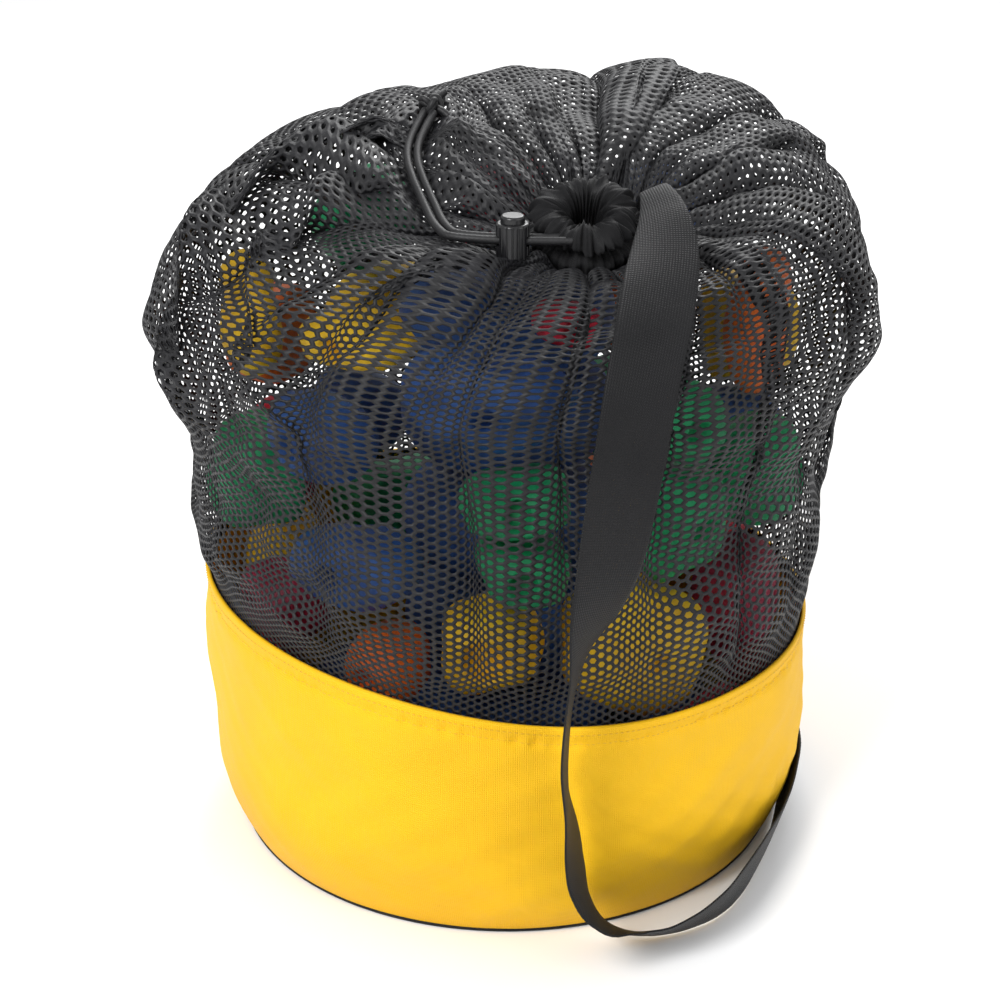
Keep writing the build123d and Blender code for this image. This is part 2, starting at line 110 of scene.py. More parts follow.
def through(points, samples):
    """A smooth line through points (k, ..., 3), read at even steps.

    Columns after x, y, z are carried along.
    """
    points = np.asarray(points, float)
    runs = np.linalg.norm(np.diff(points[..., :3], axis=0), axis=-1)
    if runs.ndim > 1:
        runs = runs.mean(axis=tuple(range(1, runs.ndim)))
    knots = np.concatenate([[0], np.cumsum(runs)])
    slopes = np.gradient(points, knots, axis=0)
    at = np.linspace(0, knots[-1], samples)
    span = np.clip(np.searchsorted(knots, at, side="right") - 1, 0, len(knots) - 2)
    step = knots[span + 1] - knots[span]
    u = (at - knots[span]) / step
    shape = (-1,) + (1,) * (points.ndim - 1)
    u, step = u.reshape(shape), step.reshape(shape)
    return ((2 * u**3 - 3 * u**2 + 1) * points[span] + (u**3 - 2 * u**2 + u) * step * slopes[span]
            + (3 * u**2 - 2 * u**3) * points[span + 1] + (u**3 - u**2) * step * slopes[span + 1])


# ---------------------------------------------------------------- materials
def add_material(name, colour, dark, roughness, sheen=0.0, coat=0.0, gloss=0.5, blotch=12.0, layers=()):
    """A Principled material: two tones in soft blotches, and layers of bump.

    A layer is a kind ("noise" or "weave"), its scale (of noise) or thread spacing in metres, and its
    bump distance in metres.
    """
    material = bpy.data.materials.new(name)
    material.use_nodes = True
    nodes, links = material.node_tree.nodes, material.node_tree.links
    shader = nodes["Principled BSDF"]
    shader.inputs["Sheen Weight"].default_value = sheen
    shader.inputs["Sheen Roughness"].default_value = 0.4
    shader.inputs["Coat Weight"].default_value = coat
    shader.inputs["Specular IOR Level"].default_value = gloss
    place = nodes.new("ShaderNodeTexCoord")
    tone = nodes.new("ShaderNodeTexNoise")
    tone.inputs["Scale"].default_value = blotch
    tone.inputs["Detail"].default_value = 8
    links.new(place.outputs["Object"], tone.inputs["Vector"])
    ramp = nodes.new("ShaderNodeValToRGB")
    ramp.color_ramp.elements[0].position = 0.32
    ramp.color_ramp.elements[1].position = 0.62
    ramp.color_ramp.elements[0].color = (*dark, 1)
    ramp.color_ramp.elements[1].color = (*colour, 1)
    links.new(tone.outputs["Fac"], ramp.inputs["Fac"])
    links.new(ramp.outputs["Color"], shader.inputs["Base Color"])
    rough = nodes.new("ShaderNodeMapRange")
    rough.inputs["To Min"].default_value = roughness - 0.08
    rough.inputs["To Max"].default_value = roughness + 0.08
    links.new(tone.outputs["Fac"], rough.inputs["Value"])
    links.new(rough.outputs["Result"], shader.inputs["Roughness"])
    before = None
    for kind, scale, distance in layers:
        if kind == "noise":
            texture = nodes.new("ShaderNodeTexNoise")
            texture.inputs["Scale"].default_value = scale
            texture.inputs["Detail"].default_value = 4
            links.new(place.outputs["Object"], texture.inputs["Vector"])
            height = texture.outputs["Fac"]
        else:
            both = nodes.new("ShaderNodeMath")
            both.operation = "MULTIPLY"
            for slot, direction in enumerate("XY"):
                wave = nodes.new("ShaderNodeTexWave")
                wave.bands_direction = direction
                wave.inputs["Scale"].default_value = 0.314 / scale
                wave.inputs["Distortion"].default_value = 0.4
                wave.inputs["Detail Scale"].default_value = 0.2
                links.new(place.outputs["UV"], wave.inputs["Vector"])
                links.new(wave.outputs["Fac"], both.inputs[slot])
            height = both.outputs["Value"]
        bump = nodes.new("ShaderNodeBump")
        bump.inputs["Distance"].default_value = distance
        bump.inputs["Strength"].default_value = 0.8
        links.new(height, bump.inputs["Height"])
        if before is not None:
            links.new(before.outputs["Normal"], bump.inputs["Normal"])
        before = bump
    if before is not None:
        links.new(before.outputs["Normal"], shader.inputs["Normal"])
    return material


YELLOW = add_material(
    "yellow_fabric", (0.88, 0.50, 0.002), (0.80, 0.44, 0.001), 0.6, 0.02, gloss=0.3, blotch=9,
    layers=[("weave", 0.0012, 0.0004), ("noise", 260, 0.0003)])
BLACK_CLOTH = add_material(
    "black_fabric", (0.010, 0.010, 0.011), (0.004, 0.004, 0.005), 0.6, 0.02, gloss=0.22, blotch=30,
    layers=[("weave", 0.0009, 0.0002), ("noise", 420, 0.0002)])
NET = add_material(
    "black_mesh", (0.011, 0.011, 0.013), (0.005, 0.005, 0.006), 0.5, 0.02, gloss=0.28, blotch=40,
    layers=[("noise", 1500, 0.0002)])
CORD = add_material(
    "black_cord", (0.012, 0.012, 0.013), (0.005, 0.005, 0.006), 0.5, 0.02, gloss=0.35, blotch=90,
    layers=[("noise", 1600, 0.0001)])
WEBBING = add_material(
    "black_webbing", (0.008, 0.008, 0.009), (0.004, 0.004, 0.005), 0.5, 0.01, gloss=0.2, blotch=18,
    layers=[("weave", 0.0014, 0.0004), ("noise", 600, 0.0001)])
PLASTIC = add_material(
    "black_plastic", (0.010, 0.010, 0.011), (0.006, 0.006, 0.007), 0.3, coat=0.1, gloss=0.4, blotch=50,
    layers=[("noise", 900, 0.00004)])
STEEL = add_material("spring_steel", (0.55, 0.55, 0.56), (0.40, 0.40, 0.41), 0.3, blotch=200)
THREAD = add_material(
    "yellow_thread", (0.80, 0.44, 0.004), (0.62, 0.33, 0.002), 0.5, 0.2, blotch=300,
    layers=[("noise", 2500, 0.0001)])
# Light and dark tone of each resin.
HOLD_TONES = {
    "yellow": ((0.92, 0.58, 0.012), (0.74, 0.42, 0.008)),
    "blue": ((0.018, 0.085, 0.30), (0.008, 0.04, 0.17)),
    "green": ((0.008, 0.36, 0.13), (0.004, 0.22, 0.08)),
    "red": ((0.62, 0.012, 0.045), (0.42, 0.008, 0.03)),
    "maroon": ((0.34, 0.012, 0.05), (0.20, 0.008, 0.03)),
    "orange": ((0.88, 0.17, 0.015), (0.66, 0.11, 0.010)),
}
RESIN = {
    tone: add_material(f"hold_{tone}", light, dark, 0.55, blotch=45,
                       layers=[("noise", 900, 0.0006), ("noise", 120, 0.001)])
    for tone, (light, dark) in HOLD_TONES.items()
}


# ---------------------------------------------------------------- drawcord
CORD_RADIUS = 0.0023
BRAID_STRANDS, BRAID_TWIST = 4, 1150    # strands each way round, and radians of twist for each metre
TAILS = {
    "drawcord_tail_left": [
        (0.035, -0.0832, 0.382), (-0.0242, -0.0832, 0.382), (-0.0334, -0.0630, 0.3825),
        (-0.0393, -0.0412, 0.3880), (-0.0463, -0.0193, 0.3955), (-0.0507, 0.0012, 0.4025),
        (-0.0488, 0.0214, 0.4090), (-0.0418, 0.0437, 0.4167),
    ],
    "drawcord_tail_right": [
        (0.035, -0.0888, 0.382), (-0.0278, -0.0888, 0.382), (-0.0386, -0.0650, 0.3825),
        (-0.0447, -0.0428, 0.3880), (-0.0517, -0.0207, 0.3955), (-0.0563, 0.0008, 0.4025),
        (-0.0543, 0.0226, 0.4090), (-0.0466, 0.0473, 0.4174),
    ],
}
KNOT = np.array((-0.0437, 0.0500, 0.4185))
KNOT_TIPS = [(-0.036, 0.062, 0.424), (-0.032, 0.042, 0.4135)]


def nurbs_line(points):
    """Points along the NURBS spline that has these control points."""
    curve = bpy.data.curves.new("line", "CURVE")
    curve.dimensions = "3D"
    curve.resolution_u = 24
    spline = curve.splines.new("NURBS")
    spline.points.add(len(points) - 1)
    for target, point in zip(spline.points, points):
        target.co = (*point, 1)
    spline.order_u = 3
    spline.use_endpoint_u = True
    holder = bpy.data.objects.new("line", curve)
    mesh = bpy.data.meshes.new_from_object(holder)
    line = np.array([v.co[:] for v in mesh.vertices])
    bpy.data.objects.remove(holder)
    bpy.data.curves.remove(curve)
    bpy.data.meshes.remove(mesh)
    return line


def even_line(line, spacing):
    runs = np.linalg.norm(np.diff(line, axis=0), axis=1)
    along = np.concatenate([[0], np.cumsum(runs)])
    at = np.linspace(0, along[-1], max(int(along[-1] / spacing), 4))
    return np.stack([np.interp(at, along, line[:, k]) for k in range(3)], axis=1), at


def frames_along(line):
    tangents = unit(np.gradient(line, axis=0))
    side = np.cross(tangents[0], (0.3, 0.2, 1.0))
    sides = []
    for tangent in tangents:
        side = side - tangent * (side @ tangent)
        side = side / np.linalg.norm(side)
        sides.append(side)
    sides = np.array(sides)
    return sides, np.cross(tangents, sides)


def tube_points(line, size, around):
    """Rings of points round a line; size is one radius, or one for each point of the line."""
    first, second = frames_along(line)
    ring = np.linspace(0, 2 * math.pi, around, endpoint=False)
    rim = np.cos(ring)[None, :, None] * first[:, None] + np.sin(ring)[None, :, None] * second[:, None]
    return (line[:, None] + rim * size).reshape(-1, 3)


def braided_tube(line, radius=CORD_RADIUS, around=28, spacing=0.00035):
    """Points and faces of a round braid along a line, with closed, slightly worn ends."""
    line, at = even_line(np.asarray(line, float), spacing)
    first, second = frames_along(line)
    a, s = np.meshgrid(np.linspace(0, 2 * math.pi, around, endpoint=False), at)
    left = np.sin(BRAID_STRANDS * a + s * BRAID_TWIST)
    right = np.sin(BRAID_STRANDS * a - s * BRAID_TWIST)
    plait = np.where(left * right > 0, np.abs(left), np.abs(right)) ** 0.6
    closing = np.minimum(1, np.minimum(at - at[0], at[-1] - at) / 0.0008 + 0.35)[:, None]
    size = radius * (0.90 + 0.10 * plait) * np.sqrt(closing)
    rim = np.cos(a)[..., None] * first[:, None] + np.sin(a)[..., None] * second[:, None]
    points = line[:, None] + rim * size[..., None]
    faces = grid_faces(len(line), around, closed_columns=True)
    ends = np.array([line[0], line[-1]])
    count = points.shape[0] * around
    caps = [(count, (i + 1) % around, i) for i in range(around)]
    last = count - around
    caps += [(count + 1, last + i, last + (i + 1) % around) for i in range(around)]
    return np.concatenate([points.reshape(-1, 3), ends]), [tuple(f) for f in faces] + caps


def join(parts):
    points, faces, start = [], [], 0
    for some_points, some_faces in parts:
        points.append(np.asarray(some_points))
        faces += [tuple(int(i) + start for i in face) for face in some_faces]
        start += len(some_points)
    return np.concatenate(points), faces


def add_knot():
    """An overhand knot tied in both cords, with the two cut ends standing out of it."""
    turn = np.linspace(0, 2 * math.pi, 90)
    parts = []
    for shift, lift in ((0.0, -0.0011), (0.35, 0.0011)):
        loop = np.stack([np.sin(turn + shift) + 1.6 * np.sin(2 * (turn + shift)),
                         np.cos(turn + shift) - 1.6 * np.cos(2 * (turn + shift)),
                         -1.5 * np.sin(3 * (turn + shift))], axis=1) * 0.0023
        loop[:, 2] += lift
        parts.append(braided_tube(loop + KNOT, 0.00205))
    for tip in KNOT_TIPS:
        reach = np.array(tip) - KNOT
        bend = KNOT + reach * 0.5 + (0, 0, 0.0012)
        parts.append(braided_tube(through([KNOT, bend, np.array(tip)], 30)))
    points, faces = join(parts)
    knot = add_mesh("knot", points, faces, CORD)
    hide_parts("drawcord_knot")
    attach(knot, "bag")
    return knot


def add_drawcord():
    knot = add_knot()
    for name, route in TAILS.items():
        line = nurbs_line(route)
        points, faces = braided_tube(line)
        tail = add_mesh(name.replace("drawcord_", "cord_"), points, faces, CORD)
        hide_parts(name)
        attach(tail, "bag")


add_drawcord()


# ---------------------------------------------------------------- the holds
# Name, kind, bearing round the bag (0 is the front, positive to +X), ring radius, height,
# half sizes across, in depth and in height, and roll about the line that faces outwards, in mm.
HOLDS = [
    ("orange_bean", "boulder", -28, 140, 150, (24, 30, 22), 8),
    ("yellow_pocket", "pocket", -4, 140, 172, (29, 28, 26), -10),
    ("yellow_jug", "boulder", 30, 138, 160, (44, 30, 36), 20),
    ("maroon_edge", "boulder", 66, 142, 160, (32, 28, 30), -15),
    ("maroon_chip", "boulder", -60, 145, 165, (26, 26, 22), 0),
    ("blue_rail", "boulder", -36, 140, 207, (44, 30, 24), -6),
    ("green_crimp", "boulder", 3, 143, 219, (26, 28, 17), 10),
    ("green_pinch", "boulder", 40, 141, 232, (24, 30, 34), 0),
    ("green_wave", "boulder", 72, 147, 233, (32, 28, 34), 8),
    ("green_slab", "boulder", -72, 146, 232, (30, 30, 34), 12),
    ("blue_knob", "boulder", -43, 146, 279, (34, 28, 25), 14),
    ("blue_sloper", "boulder", -4, 132, 307, (47, 30, 27), 12),
    ("green_blob", "boulder", 2, 142, 257, (30, 28, 15), -5),
    ("green_ear", "boulder", 36, 145, 294, (30, 26, 24), 20),
    ("blue_chip", "boulder", 42, 118, 342, (20, 18, 13), 0),
    ("yellow_ring", "ring", -76, 148, 322, (38, 16, 38), 0),
    ("yellow_band", "boulder", -40, 122, 329, (34, 24, 16), -8),
    ("red_pebble", "boulder", 19, 98, 338, (18, 18, 12), 15),
    ("orange_arch", "ring", 72, 146, 322, (43, 14, 43), 0),
    ("red_back", "boulder", 180, 86, 356, (28, 26, 20), 10),
    ("blue_back", "boulder", 140, 140, 338, (38, 28, 26), -20),
    ("green_back", "boulder", -140, 140, 335, (40, 28, 26), 15),
    ("yellow_back", "boulder", 108, 150, 285, (36, 28, 34), 10),
    ("orange_back", "boulder", 145, 145, 275, (38, 28, 32), 0),
    ("maroon_back", "boulder", 180, 145, 290, (36, 28, 34), -15),
    ("yellow_side", "boulder", -145, 145, 272, (38, 28, 32), 20),
    ("orange_side", "boulder", -108, 150, 280, (36, 28, 32), -10),
    ("blue_side", "boulder", 110, 142, 215, (38, 30, 32), 15),
    ("green_rear", "boulder", 147, 140, 205, (40, 30, 34), -10),
    ("yellow_rear", "boulder", -175, 140, 218, (38, 30, 34), 5),
    ("blue_rear", "boulder", -138, 140, 208, (36, 30, 28), -12),
    ("red_side", "boulder", -105, 142, 210, (34, 30, 31), 10),
    ("red_rear", "boulder", 125, 140, 143, (42, 30, 32), 0),
    ("orange_rear", "boulder", 166, 138, 138, (40, 30, 30), 12),
    ("green_low", "boulder", -150, 138, 142, (44, 30, 28), -6),
    ("yellow_low", "boulder", -103, 138, 140, (44, 30, 32), 6),
]


def lumps(directions, seed, count, sharpness):
    """Seeded smooth lumps over the sphere of directions, about -1 to 1."""
    source = np.random.default_rng(seed)
    total = np.zeros(directions.shape[:-1])
    for axis in unit(source.normal(size=(count, 3))):
        total += source.uniform(-1, 1) * np.exp(sharpness * (directions @ axis - 1))
    return total


def hold_place(bearing, radius, height, roll):
    """A hold's centre, and its directions across, outwards and up."""
    turn, tilt = math.radians(bearing), math.radians(roll)
    centre = np.array((radius * math.sin(turn), -radius * math.cos(turn), height)) / 1000
    across = np.array((math.cos(turn), math.sin(turn), 0))
    out = np.array((math.sin(turn), -math.cos(turn), 0))
    up = np.array((0, 0, 1.0))
    return (centre, across * math.cos(tilt) - up * math.sin(tilt), out,
            across * math.sin(tilt) + up * math.cos(tilt))


def add_hold(index, name, kind, bearing, radius, height, half_sizes, roll):
    centre, across, out, up = hold_place(bearing, radius, height, roll)
    a, b, c = (v / 1000 for v in half_sizes)
    if kind == "ring":
        along, around = 96, 40
        u, v = np.meshgrid(np.linspace(0, 2 * math.pi, along, endpoint=False),
                           np.linspace(0, 2 * math.pi, around, endpoint=False), indexing="ij")
        way = np.stack([np.cos(u), np.sin(v), np.sin(u)], axis=-1)
        swell = 1 + 0.12 * np.sin(3 * u + index) + 0.05 * lumps(unit(way), index, 10, 6)
        tube = b * 0.9 * swell
        main = a - b
        x = (main + tube * np.cos(v)) * np.cos(u)
        z = (main + tube * np.cos(v)) * np.sin(u) * 0.98
        y = tube * np.sin(v) * 0.95
        faces = grid_faces(along, around, True, True)
    else:
        along, around = 56, 80
        u, v = np.meshgrid(np.linspace(0.02, math.pi - 0.02, along),
                           np.linspace(0, 2 * math.pi, around, endpoint=False), indexing="ij")
        way = np.stack([np.sin(u) * np.cos(v), np.cos(u), np.sin(u) * np.sin(v)], axis=-1)
        square = 2.2 + 1.6 * ((index * 7) % 5) / 4
        corner = (np.abs(way) ** square).sum(axis=-1) ** (-1 / square)
        size = 0.92 + 0.17 * lumps(way, index, 12, 6) + 0.06 * lumps(way, index + 90, 30, 24)
        size = np.minimum(size * corner, 1.16)
        x, y, z = a * way[..., 0] * size, b * way[..., 1] * size, c * way[..., 2] * size
        y = np.maximum(y, -0.62 * b)
        hole, depth = (0.0062, 0.011) if kind == "boulder" else (0.011, 0.014)
        y = np.where(y > 0, y - depth * (1 - smoothstep(hole * 0.8, hole * 1.25, np.hypot(x, z))), y)
        faces = grid_faces(along, around, closed_columns=True)
    local = np.stack([x, y, z], axis=-1).reshape(-1, 3)
    points = centre + local @ np.stack([across, out, up])
    hold = add_mesh(name, points, faces, RESIN[name.split("_")[0]])
    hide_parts(f"hold_{name}")
    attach(hold, "bag")


for number, row in enumerate(HOLDS):
    add_hold(number, *row)


def paint(node, material):
    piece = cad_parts[node]
    piece.data.materials.clear()
    piece.data.materials.append(material)


for node, tone in (("holds_lower_layer_1", "blue"), ("holds_lower_layer_2", "red"), ("holds_core", "blue")):
    paint(node, RESIN[tone])
for node in ("cord_lock_barrel", "cord_lock_plunger"):
    paint(node, PLASTIC)


def add_spring():
    """The coil under the lock's button, built at one fixed length that fills the spring's box; the real coil
    flattens as the button goes down.
    """
    low, high = (np.array(corner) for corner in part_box("cord_lock_spring"))
    wire, turns, around = 0.0004, 3, 12
    middle = (low + high) / 2
    radius = (high[0] - low[0]) / 2 - wire
    turn = np.linspace(0, 2 * math.pi * turns, 180)
    line = np.stack([middle[0] + radius * np.cos(turn), middle[1] + radius * np.sin(turn),
                     np.linspace(low[2] + wire, high[2] - wire, len(turn))], axis=1)
    count = len(line) * around
    faces = [tuple(face) for face in grid_faces(len(line), around, closed_columns=True)]
    faces += [tuple(range(around))[::-1], tuple(range(count - around, count))]
    spring = add_mesh("lock_spring", tube_points(line, wire, around), faces, STEEL)
    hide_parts("cord_lock_spring")
    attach(spring, "cord_lock")
    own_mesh(spring)


add_spring()


# ---------------------------------------------------------------- woven base
RIM_HEIGHT = 0.149
LEAN = math.radians(5.3)
WALL_RADIUS, FLOOR_RADIUS = 0.180, 0.163
UPRIGHT = 0.060             # height at which the wall has flared to its full radius
WALL_FOOT = 0.0016          # height of the wall's lower edge
WALL_CLOTH = 0.0022
RIM_DIP = 0.0065            # how far the rim sags at the front


def rim_height(x):
    """Height of the seam between wall and mesh, over x."""
    return RIM_HEIGHT - x * math.tan(LEAN)


def ripple(angle, level, seed, count, low, high):
    """Smooth seeded waves round the bag and up it, about -1 to 1."""
    source = np.random.default_rng(seed)
    total = 0
    for turns in source.integers(low, high, count):
        total = total + np.sin(turns * angle + source.uniform(-6, 6) * level + source.uniform(0, 6.3))
    return total / math.sqrt(count)


def wall_points(angle, share, inset):
    """Outside of the wall at a bearing and a share of its height, with the sags of soft cloth."""
    flare = ((WALL_RADIUS - FLOOR_RADIUS) ** 2 + UPRIGHT**2) / (2 * (WALL_RADIUS - FLOOR_RADIUS))
    top = rim_height(WALL_RADIUS * np.sin(angle)) - RIM_DIP * np.exp(-(((angle - 0.25) / 0.55) ** 2))
    z = WALL_FOOT + share * (top - WALL_FOOT)
    drop = np.maximum(UPRIGHT - z, 0)
    radius = WALL_RADIUS - flare + np.sqrt(flare**2 - drop**2)
    soft = np.sin(math.pi * share) ** 0.7
    sag, crease = ripple(angle, share * 2, 5, 7, 3, 11), ripple(angle, share * 8, 6, 9, 12, 40)
    radius = radius + soft * (0.0022 * sag + 0.0005 * crease)
    pucker = 1 + 0.6 * ripple(angle, share, 7, 8, 40, 130)
    radius = radius - 0.0012 * np.exp(-(((share - 0.93) / 0.02) ** 2)) * pucker
    radius = radius - inset
    return np.stack([radius * np.sin(angle), -radius * np.cos(angle), z], axis=-1)


def add_wall():
    around, rows = 540, 70
    bearings = np.linspace(-math.pi, math.pi, around, endpoint=False)
    angle, share = np.meshgrid(bearings, np.linspace(0, 1, rows))
    outside = wall_points(angle, share, 0)
    inside = wall_points(angle, share, WALL_CLOTH)[::-1]
    points = np.concatenate([outside, inside])
    flat_x = angle * WALL_RADIUS
    flat_y = share * 0.15
    uvs = np.stack([np.concatenate([flat_x, flat_x]), np.concatenate([flat_y, flat_y[::-1]])], axis=-1)
    wall = add_mesh("wall", points.reshape(-1, 3), grid_faces(2 * rows, around, True, True),
                    YELLOW, uvs=uvs.reshape(-1, 2))
    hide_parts("base_wall", "rim_hem")
    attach(wall, "bag")


def add_stitches():
    """Two close rows of thread round the wall's top edge."""
    count, around = 350, 6
    thread = np.array((0.00012, 0.00032, 0.00012))[:, None, None]
    faces = grid_faces(len(thread), around, closed_columns=True)
    parts = []
    for share in (0.968, 0.925):
        for index in range(count):
            ends = []
            for step in (0.1, 0.5, 0.9):
                angle = np.array((index + step) * 2 * math.pi / count - math.pi)
                ends.append(wall_points(angle, np.array(share), -0.0003 if step == 0.5 else 0.0002))
            parts.append((tube_points(np.array(ends), thread, around), faces))
    points, faces = join(parts)
    stitches = add_mesh("wall_stitches", points, faces, THREAD)
    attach(stitches, "bag")


def add_floor_of_bag():
    """The black disc, and the piping where it is sewn to the wall."""
    around, rows = 360, 26
    bearings = np.linspace(0, 2 * math.pi, around, endpoint=False)
    angle, share = np.meshgrid(bearings, np.linspace(0.02, 1, rows))
    radius = share * 0.1625
    low = 0.0002 + 0.0004 * (1 + ripple(angle, share * 5, 11, 8, 2, 9)) * (1 - share**6) * 0.5
    low = np.maximum(low, 0.0001)
    under = np.stack([radius * np.sin(angle), -radius * np.cos(angle), low], axis=-1)
    over = under[::-1] + np.array((0, 0, 0.0013))
    points = np.concatenate([under, over]).reshape(-1, 3)
    uvs = points[:, :2]
    disc = add_mesh("bag_floor", points, grid_faces(2 * rows, around, True, True), BLACK_CLOTH,
                    uvs=uvs)
    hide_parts("base_disc", "bottom_binding")
    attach(disc, "bag")
    along, round_it, thickness = 480, 12, 0.0016
    turn, ring = np.meshgrid(np.linspace(0, 2 * math.pi, along, endpoint=False),
                             np.linspace(0, 2 * math.pi, round_it, endpoint=False), indexing="ij")
    size = thickness + 0.0001 * np.sin(turn * 240)
    wide = 0.1632 + size * np.cos(ring)
    points = np.stack([wide * np.sin(turn), -wide * np.cos(turn), 0.0018 + size * np.sin(ring)], axis=-1)
    uvs = np.stack([turn * FLOOR_RADIUS, ring * thickness], axis=-1)
    piping = add_mesh("bottom_piping", points.reshape(-1, 3), grid_faces(along, round_it, True, True),
                      BLACK_CLOTH, uvs=uvs.reshape(-1, 2))
    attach(piping, "bag")


add_wall()
add_stitches()
add_floor_of_bag()


# ---------------------------------------------------------------- mesh body
# Each station: centre x, y, z, half width, half depth, lean to the side, lean to the front, in mm.
STATIONS = [
    (0, 0, 180, 184, 184, 3.0, 0.0),
    (0, 0, 212, 187, 186, 1.5, 0.0),
    (0, 0, 250, 187, 186, 0.0, 0.0),
    (-1, 2, 285, 198, 188, 0.0, 0.0),
    (-2, 4, 320, 204, 190, 0.0, 2.0),
    (4, 8, 350, 197, 182, 0.0, 6.0),
    (14, 10, 376, 178, 160, 0.0, 11.0),
    (26, 6, 391, 138, 122, 0.0, 15.0),
    (32, -22, 388, 80, 76, 0.0, 20.0),
]
NECK = np.array((0.042, -0.058, 0.371))
NECK_LEAN = math.radians(24)
NECK_AXIS = np.array((0, -math.sin(NECK_LEAN), math.cos(NECK_LEAN)))
AROUND, UP = 720, 200


def station_ring(centre, x_dir, normal, wide, deep, angle):
    y_dir = np.cross(normal, x_dir)
    return (np.asarray(centre) + wide * np.sin(angle)[:, None] * x_dir
            - deep * np.cos(angle)[:, None] * y_dir)


def smooth_body(angle):
    rings = []
    normal = np.array((math.sin(LEAN), 0, math.cos(LEAN)))
    x_dir = np.array((math.cos(LEAN), 0, -math.sin(LEAN)))
    for drop in (0.009, 0.0):
        rings.append(station_ring((0, 0, RIM_HEIGHT - drop), x_dir, normal, 0.1772, 0.1765, angle))
    for x, y, z, wide, deep, side, front in STATIONS:
        side, front = math.radians(side), math.radians(front)
        normal = np.array((math.sin(side), -math.sin(front), math.cos(side) * math.cos(front)))
        x_dir = unit(np.array((normal[2], 0, -normal[0])))
        centre = np.array((x, y, z)) / 1000
        rings.append(station_ring(centre, x_dir, normal, wide / 1000, deep / 1000, angle))
    rings.append(station_ring(NECK, np.array((1.0, 0, 0)), NECK_AXIS, 0.026, 0.026, angle))
    return through(rings, UP)


def surface_normals(points):
    around = np.roll(points, -1, axis=1) - np.roll(points, 1, axis=1)
    upwards = np.gradient(points, axis=0)
    return unit(np.cross(around, upwards))


def pleat(angle, turns, seed, reach, distance):
    """Rounded ridges with narrow valleys that run out from the neck, uneven in width and depth."""
    wander = 0.8 * ripple(angle, 0, seed, 6, 1, 6) + 1.5 * distance * ripple(angle, 0, seed + 1, 5, 2, 9)
    phase = turns * angle / 2 + wander
    uneven = 0.75 + 0.35 * ripple(angle, 0, seed + 2, 5, 2, 12)
    fade = (distance / reach) * np.exp(1 - distance / reach)
    return uneven * fade * (2 * np.abs(np.cos(phase)) - 1), phase, uneven * fade


# Ridges round the bag, seed, distance from the neck where deepest, height, and how far each lies over.
PLEATS = [
    (62, 21, 0.018, 0.0035, 1.3),
    (36, 22, 0.042, 0.0060, 2.4),
    (20, 23, 0.080, 0.0066, 1.9),
    (11, 24, 0.14, 0.0034, 0.7),
]
# Single folds: bearing and distance from the neck at both ends, half width, height, and how far
# each lies over.
FOLDS = [
    (-2.25, 0.09, -0.95, 0.24, 0.024, 0.010, 1.9),
    (-1.55, 0.10, -0.55, 0.20, 0.018, 0.007, 1.5),
    (1.05, 0.10, 1.45, 0.27, 0.016, 0.007, 1.3),
    (1.75, 0.08, 2.00, 0.20, 0.018, 0.005, 1.3),
    (2.55, 0.05, 2.75, 0.18, 0.018, 0.009, 1.5),
    (-0.35, 0.02, -0.60, 0.12, 0.013, 0.007, 1.6),
]
# Broad swells and hollows: bearing, distance, their widths, and height.
SWELLS = [
    (2.98, 0.12, 0.11, 0.08, -0.013),
    (2.40, 0.18, 0.30, 0.07, 0.011),
    (-0.20, 0.17, 0.35, 0.05, -0.004),
]


def turn_from(angles, bearing):
    """The turn from a bearing to each angle, from -pi to pi."""
    return (angles - bearing + math.pi) % (2 * math.pi) - math.pi


def net_surface():
    angle = np.linspace(0, 2 * math.pi, AROUND, endpoint=False)
    base = smooth_body(angle)
    normals = surface_normals(base)
    sideways = unit(np.roll(base, -1, axis=1) - np.roll(base, 1, axis=1))
    steps = np.linalg.norm(np.diff(base[::-1], axis=0), axis=-1)
    distance = np.concatenate([np.zeros((1, AROUND)), np.cumsum(steps, axis=0)])[::-1]
    level = np.linspace(0, 1, UP)[:, None]
    angles = np.broadcast_to(angle, (UP, AROUND))
    girth = np.linalg.norm(np.roll(base, -1, axis=1) - base, axis=-1) * AROUND
    lift = np.zeros((UP, AROUND))
    slide = np.zeros((UP, AROUND))
    for turns, seed, reach, height, overlap in PLEATS:
        wave, phase, size = pleat(angles, turns, seed, reach, distance)
        lift += height * wave
        width = girth / turns
        slide += overlap * size * width / (2 * math.pi) * np.sin(2 * phase)
    for start, near, end, far, half, height, overlap in FOLDS:
        share = np.clip((distance - near) / (far - near), 0, 1)
        away = turn_from(angles, start + share * (end - start))
        across = away * (girth / (2 * math.pi)) / half
        window = smoothstep(near - 0.04, near + 0.02, distance)
        window = window * (1 - smoothstep(far - 0.03, far + 0.04, distance))
        lift += height * window * np.exp(-across**2)
        slide -= overlap * half * window * across * np.exp(-across**2)
    for bearing, far, wide, deep, height in SWELLS:
        away = turn_from(angles, bearing)
        lift += height * np.exp(-(away / wide) ** 2 - ((distance - far) / deep) ** 2)
    hold = smoothstep(0.02, 0.10, level) * smoothstep(0.0, 0.02, distance)
    broad, fine = ripple(angles, level * 9, 31, 8, 3, 14), ripple(angles, level * 26, 32, 9, 10, 34)
    lift += hold * (0.0028 * broad + 0.0012 * fine)
    lift -= 0.0035 * smoothstep(0.05, 0.2, level) * smoothstep(0.06, 0.2, distance)
    return base + normals * (lift * hold)[..., None] + sideways * (slide * hold)[..., None]


